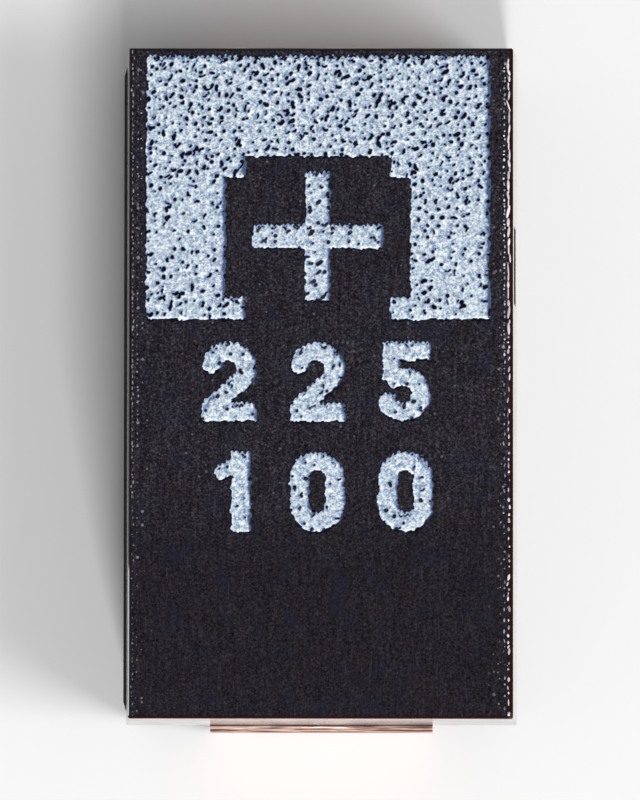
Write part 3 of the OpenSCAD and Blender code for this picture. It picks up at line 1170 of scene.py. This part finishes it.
    def cut_out(self, piece: Piece) -> None:
        """Deletes the faces outside the mark, and leaves none that touch only at a corner.

        Args:
            piece: the sheet.
        """
        centres = read_vectors(piece.data.polygons, "center")
        column, row = (np.clip(((centres[:, i] + 0.5) * self.cells[i]).astype(int), 0, self.cells[i] - 1)
                       for i in (0, 1))
        kept = np.zeros(self.cells[::-1], dtype=bool)
        at = self.spread((column + 0.5) / self.cells[0], (row + 0.5) / self.cells[1])
        kept[row, column] = self.shadowed_outline(at) < 0
        kept[[0, -1], :] = kept[:, [0, -1]] = False
        for _ in range(8):
            corner = kept[:-1, :-1] & kept[1:, 1:] & ~kept[:-1, 1:] & ~kept[1:, :-1]
            other = ~kept[:-1, :-1] & ~kept[1:, 1:] & kept[:-1, 1:] & kept[1:, :-1]
            kept[:-1, 1:] |= corner
            kept[:-1, :-1] |= other
        bpy.ops.object.mode_set(mode="EDIT")
        bpy.ops.mesh.select_mode(type="FACE")
        bpy.ops.mesh.select_all(action="DESELECT")
        bpy.ops.object.mode_set(mode="OBJECT")
        piece.data.polygons.foreach_set("select", ~kept[row, column])
        bpy.ops.object.mode_set(mode="EDIT")
        bpy.ops.mesh.delete(type="FACE")
        bpy.ops.object.mode_set(mode="OBJECT")

    def select_border(self, kind: str) -> None:
        """Goes into edit mode with the sheet's open border selected.

        Args:
            kind: what is selected, "VERT" or "EDGE".
        """
        bpy.ops.object.mode_set(mode="EDIT")
        bpy.ops.mesh.select_mode(type=kind)
        bpy.ops.mesh.select_all(action="DESELECT")
        bpy.ops.mesh.select_non_manifold(
            extend=False, use_wire=False, use_boundary=True, use_multi_face=False, use_non_contiguous=False,
            use_verts=False,
        )

    def raise_relief(self, piece: Piece) -> None:
        """Moves the border onto the ragged outline, sinks the pits and records how sooty and how shaded each
        place is, and its painted relief light and shade.

        Args:
            piece: the cut sheet.
        """
        self.select_border("VERT")
        bpy.ops.object.mode_set(mode="OBJECT")
        border = np.zeros(len(piece.data.vertices), dtype=bool)
        piece.data.vertices.foreach_get("select", border)
        flat = read_vectors(piece.data.vertices, "co")
        at = self.spread(flat[:, 0] + 0.5, flat[:, 1] + 0.5)
        distance, step = self.shadowed_outline(at), 0.004
        slope_x = (self.shadowed_outline(at.moved(step, 0)) - distance) / step
        slope_y = (self.shadowed_outline(at.moved(0, step)) - distance) / step
        steepness = np.maximum(slope_x ** 2 + slope_y ** 2, 0.25)
        shift = np.clip(distance / steepness, -0.6 * self.cell, 0.6 * self.cell) * border
        at = at.moved(-shift * slope_x, -shift * slope_y)
        soot_and_shade, relief_light = self.burn(at)
        pits = np.clip((soot_and_shade - self.halo[0]) / (1 - self.halo[0]), 0, 1)
        shoulder = np.clip(-self.worn_outline(at) / self.shoulder, 0, 1)
        ripple = self.ripples[0] * self.noise(at, 0.05, 7) + self.ripples[1] * self.noise(at, 0.027, 8)
        height = self.top + self.proud * (0.3 + 0.7 * shoulder) + (ripple - self.pit_depth * pits) * shoulder
        piece.data.vertices.foreach_set("co", (np.column_stack((at.x, at.y, height)) * MM).ravel())
        record(piece.data, "soot_and_shade", soot_and_shade)
        record(piece.data, "relief_light", relief_light)
        piece.data.update()

    def close(self) -> None:
        """Gives the mark its side wall and underside."""
        self.select_border("EDGE")
        down = (0, 0, (self.bottom - self.top) * MM)
        bpy.ops.mesh.extrude_region_move(TRANSFORM_OT_translate={"value": down})
        bpy.ops.transform.resize(value=(1, 1, 0), center_override=(0, 0, self.bottom * MM))
        bpy.ops.mesh.fill(use_beauty=False)
        bpy.ops.mesh.select_all(action="SELECT")
        bpy.ops.mesh.normals_make_consistent(inside=False)
        bpy.ops.object.mode_set(mode="OBJECT")

    def build(self, wardrobe: Wardrobe) -> None:
        """Makes the mark.

        Args:
            wardrobe: the materials.
        """
        piece = self.lay_sheet()
        self.cut_out(piece)
        self.raise_relief(piece)
        self.close()
        wardrobe.finish(piece, "lasered_resin")


@dataclass
class Marking:
    """The whole marking: the polarity band, the sign in its window and two rows of plain numbers."""

    wardrobe: Wardrobe
    case: Piece
    letters: Lettering = Lettering()
    rows: tuple[tuple[Numeral, ...], ...] = (
        (Numeral.TWO, Numeral.TWO, Numeral.FIVE),
        (Numeral.ONE, Numeral.ZERO, Numeral.ZERO),
    )
    row_places: Pair = (0.02, -1.125)
    column_pitch: float = 0.918
    shift: float = -0.035
    sign_place: float = 1.53
    sign_bars: Pair = (0.238, 1.335)
    margin: float = 0.09
    sunk: float = 0.01

    def build_band(self, pocket: BandPocket) -> None:
        """Fills the pocket with the band's burnt skin.

        Args:
            pocket: the pocket.
        """
        LaserMark(
            "polarity_band", pocket.distance, (pocket.low[0] - self.margin, pocket.low[1] - self.margin),
            (pocket.high[0] + self.margin, pocket.high[1] + 0.05), pocket.rim, pocket.floor + 0.0005, seed=3,
            pits_per_mm2=158, crowded_above=pocket.high[1] - 0.25, sparse_below=pocket.low[1] + 1.3,
            swell=(0.008, -0.021, 0.008), right_shadow_line=0.036, shade_fringe=0.055,
        ).build(self.wardrobe)

    def build_mark(self, name: str, shape: Outline, middle: Pair, half: Pair, pocket: BandPocket,
                   **looks: object) -> None:
        """Makes one mark that stands on the face.

        Args:
            name: the piece's name.
            shape: the mark's outline round the origin.
            middle: where it stands.
            half: half its width and half its length.
            pocket: the band's pocket, whose rim is the face.
            **looks: the mark's seed and pits.
        """
        x, y = middle
        across, along = (size + self.margin for size in half)
        LaserMark(name, lambda at: shape(at.moved(-x, -y)), (x - across, y - along), (x + across, y + along),
                  pocket.rim, pocket.rim - self.sunk, **looks).build(self.wardrobe)

    def sign(self, at: Spots) -> Array:
        """The distance to the plus sign, whose two bars are one bar turned."""
        thin, long = (size / 2 for size in self.sign_bars)
        return np.minimum(*(view.rectangle((-thin, -long), (thin, long)) for view in (at, Spots(at.y, at.x))))

    def build(self) -> None:
        """Makes every mark, each one a piece of its own."""
        pocket = BandPocket.find(self.case)
        self.build_band(pocket)
        long = self.sign_bars[1] / 2
        self.build_mark("plus_sign", self.sign, (self.shift, self.sign_place), (long, long), pocket, seed=21,
                        pits_per_mm2=95)
        for row, (numerals, place) in enumerate(zip(self.rows, self.row_places), start=1):
            for column, numeral in enumerate(numerals, start=1):
                self.build_mark(
                    f"numeral_{row}_{column}", partial(self.letters.distance, numeral),
                    (self.shift + (column - 2) * self.column_pitch, place),
                    (self.letters.width / 2, self.letters.height / 2), pocket, seed=40 + 10 * row + column,
                    pits_per_mm2=52, pit_length=0.045, pit_radius=(0.008, 0.017),
                )


# The blisters


@dataclass(frozen=True)
class BlisterRow:
    """One row of blisters along a side of the top face. Lengths are in millimetres."""

    side: int
    inset: float
    width: Pair
    length: Pair
    gap: Pair
    # How strongly the row's blisters are painted with a highlight.
    glint: Pair
    span: Pair = (-3.38, 3.3)


@dataclass
class RimBlisters:
    """The rows of small blisters just inside the long rims of the top face."""

    wardrobe: Wardrobe
    top: float
    half_width: float = MouldedResin.half_width
    seed: int = 5
    height: float = 0.009
    wander: float = 0.010
    cut_level: float = -0.12
    steepness: float = 1.7
    turn: float = 0.12
    # The +X rows, which face the light, carry a stronger painted highlight than the -X rows.
    rows: tuple[BlisterRow, ...] = (
        BlisterRow(1, 0.026, (0.015, 0.032), (0.04, 0.15), (-0.025, 0.006), (0.50, 1.0), (0.5, 3.34)),
        BlisterRow(1, 0.027, (0.012, 0.030), (0.02, 0.075), (-0.01, 0.07), (0.25, 1.0), (-3.46, 0.5)),
        BlisterRow(1, 0.073, (0.011, 0.024), (0.014, 0.04), (0.004, 0.05), (0.15, 0.85), (0.2, 3.34)),
        BlisterRow(1, 0.073, (0.010, 0.022), (0.012, 0.05), (0.02, 0.13), (0.06, 0.45), (-3.40, 0.2)),
        BlisterRow(1, 0.115, (0.008, 0.018), (0.010, 0.03), (0.04, 0.30), (0.05, 0.30)),
        BlisterRow(-1, 0.020, (0.010, 0.018), (0.014, 0.05), (0.006, 0.05), (0.06, 0.34), (-1.2, 3.44)),
        BlisterRow(-1, 0.024, (0.009, 0.016), (0.012, 0.035), (0.01, 0.09), (0.03, 0.17), (-3.46, -1.2)),
        BlisterRow(-1, 0.073, (0.009, 0.022), (0.012, 0.03), (0.02, 0.12), (0.04, 0.28), (-0.6, 3.40)),
        BlisterRow(-1, 0.070, (0.008, 0.018), (0.010, 0.03), (0.04, 0.26), (0.03, 0.14), (-3.42, -0.6)),
        BlisterRow(-1, 0.110, (0.008, 0.020), (0.010, 0.03), (0.03, 0.30), (0.05, 0.55), (1.2, 3.40)),
    )

    def model_blister(self) -> bpy.types.Mesh:
        """Models one blister: a low dome, cut flat below, one unit long and wide.

        Returns:
            Its mesh.
        """
        deselect_everything()
        bpy.ops.mesh.primitive_ico_sphere_add(subdivisions=2, radius=0.5)
        blister = bpy.context.object
        bpy.ops.object.mode_set(mode="EDIT")
        bpy.ops.mesh.select_all(action="SELECT")
        cut = (0, 0, self.cut_level)
        bpy.ops.mesh.bisect(plane_co=cut, plane_no=(0, 0, 1), clear_inner=True, use_fill=True)
        bpy.ops.mesh.select_all(action="SELECT")
        bpy.ops.transform.resize(value=(1, 1, self.steepness), center_override=cut)
        bpy.ops.mesh.normals_make_consistent(inside=False)
        bpy.ops.object.mode_set(mode="OBJECT")
        mesh = blister.data
        bpy.data.objects.remove(blister)
        return mesh

    def place_row(self, row: BlisterRow, mesh: bpy.types.Mesh, random: np.random.Generator) -> list[Piece]:
        """Copies the blister along one row.

        Args:
            row: the row.
            mesh: the blister's mesh.
            random: the source of its variation.

        Returns:
            The copies.
        """
        copies = []
        y = row.span[0]
        while y < row.span[1]:
            length, width = random.uniform(*row.length), random.uniform(*row.width)
            x = row.side * (self.half_width - row.inset) + random.normal(0, self.wander / 2)
            turn = Matrix.Rotation(random.normal(0, self.turn), 4, "Z")
            move = Matrix.Translation((x * MM, (y + length / 2) * MM, (self.top + 0.1 * self.height) * MM))
            size = Matrix.Diagonal((width * MM, length * MM, self.height * MM * random.uniform(0.6, 1.0), 1))
            copy = bpy.data.objects.new("blister", mesh.copy())
            copy.data.transform(move @ turn @ size)
            # Each blister's share of painted highlight.
            record(copy.data, "glint", np.full(len(copy.data.vertices), random.uniform(*row.glint)))
            bpy.context.scene.collection.objects.link(copy)
            copies.append(copy)
            y += length + random.uniform(*row.gap)
        return copies

    def build(self) -> None:
        """Makes every row as one piece."""
        mesh = self.model_blister()
        random = np.random.default_rng(self.seed)
        copies = [copy for row in self.rows for copy in self.place_row(row, mesh, random)]
        deselect_everything()
        for copy in copies:
            copy.select_set(True)
        bpy.context.view_layer.objects.active = copies[0]
        bpy.ops.object.join()
        piece = bpy.context.object
        piece.name = piece.data.name = "rim_blisters"
        self.wardrobe.finish(piece, "blistered_resin")


# The studio


@dataclass(frozen=True)
class Lamp:
    """A soft square lamp that points at the part. Lengths are in metres, its power in watts."""

    name: str
    place: Triple
    size: float
    power: float

    def hang(self) -> None:
        """Hangs the lamp."""
        light = bpy.data.lights.new(self.name, "AREA")
        light.shape = "SQUARE"
        light.size = self.size
        light.energy = self.power
        lamp = bpy.data.objects.new(self.name, light)
        lamp.location = self.place
        lamp.rotation_euler = (-Vector(self.place)).to_track_quat("-Z", "Y").to_euler()
        bpy.context.scene.collection.objects.link(lamp)


@dataclass
class Studio:
    """A pale floor, soft lamps and the camera. Lengths are in metres."""

    floor_size: float = 2.0
    floor_colours: tuple[Colour, Colour] = ((0.788, 0.788, 0.788), (0.80, 0.80, 0.80))
    world_level: float = 0.34
    lamps: tuple[Lamp, ...] = (
        Lamp("key_lamp", (0.022, -0.20, 0.14), 0.04, 0.45),
        Lamp("fill_lamp", (0.19, -0.07, 0.25), 0.12, 0.58),
    )
    sensor: float = 36.0
    camera_distance: float = 0.085
    camera_turn: Triple = (2.5, 0.40, 0.06)
    frame_height: float = 8.316 * MM
    aim: Pair = (-0.008 * MM, -0.179 * MM)

    def lay_floor(self) -> None:
        """Lays a plain pale floor at the solder plane."""
        deselect_everything()
        bpy.ops.mesh.primitive_plane_add(size=self.floor_size)
        floor = bpy.context.object
        floor.name = "floor"
        material = bpy.data.materials.new("pale_floor")
        material.use_nodes = True
        coat = Coat(material.node_tree, {})
        cloud = coat.add("TexNoise", Vector=coat.place, Scale=40.0, Detail=1.0).outputs["Fac"]
        coat.paint(Roughness=0.9, Specular_IOR_Level=0.1, Base_Color=coat.blend(cloud, *self.floor_colours))
        floor.data.materials.append(material)

    def light_world(self) -> None:
        """Fills the room with an even pale light."""
        world = bpy.data.worlds.new("room")
        bpy.context.scene.world = world
        world.use_nodes = True
        background = world.node_tree.nodes["Background"]
        background.inputs["Color"].default_value = (1.0, 1.0, 1.0, 1.0)
        background.inputs["Strength"].default_value = self.world_level

    def set_camera(self, top: float) -> None:
        """Stands the camera almost straight above the top face.

        Args:
            top: the height of the top face.
        """
        camera = bpy.data.cameras.new("camera")
        camera.sensor_width = self.sensor
        camera.lens = self.sensor * self.camera_distance / self.frame_height
        camera.clip_start = 0.001
        camera.clip_end = 10.0
        viewer = bpy.data.objects.new("camera", camera)
        tilt, side, roll = (math.radians(angle) for angle in self.camera_turn)
        leaned = Euler((tilt, side, 0)).to_matrix()
        viewer.location = Vector((*self.aim, top)) + leaned @ Vector((0, 0, self.camera_distance))
        viewer.rotation_euler = (leaned @ Matrix.Rotation(roll, 3, "Z")).to_euler()
        bpy.context.scene.collection.objects.link(viewer)
        bpy.context.scene.camera = viewer

    def build(self, top: float) -> None:
        """Sets up the studio.

        Args:
            top: the height of the part's top face.
        """
        self.lay_floor()
        for lamp in self.lamps:
            lamp.hang()
        self.light_world()
        self.set_camera(top)
        bpy.context.scene.view_settings.view_transform = "Standard"


def main() -> None:
    """Builds the looks in order."""
    logging.basicConfig(level=logging.INFO, format="%(message)s")
    wardrobe = Wardrobe({effect: effect.build() for effect in Effect})
    CapacitorBody(wardrobe).dress()
    Marking(wardrobe, frame["nodes"]["moulded_case"]).build()
    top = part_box("moulded_case")[1][2]
    RimBlisters(wardrobe, top / MM).build()
    Studio().build(top)


if __name__ == "__main__":
    main()
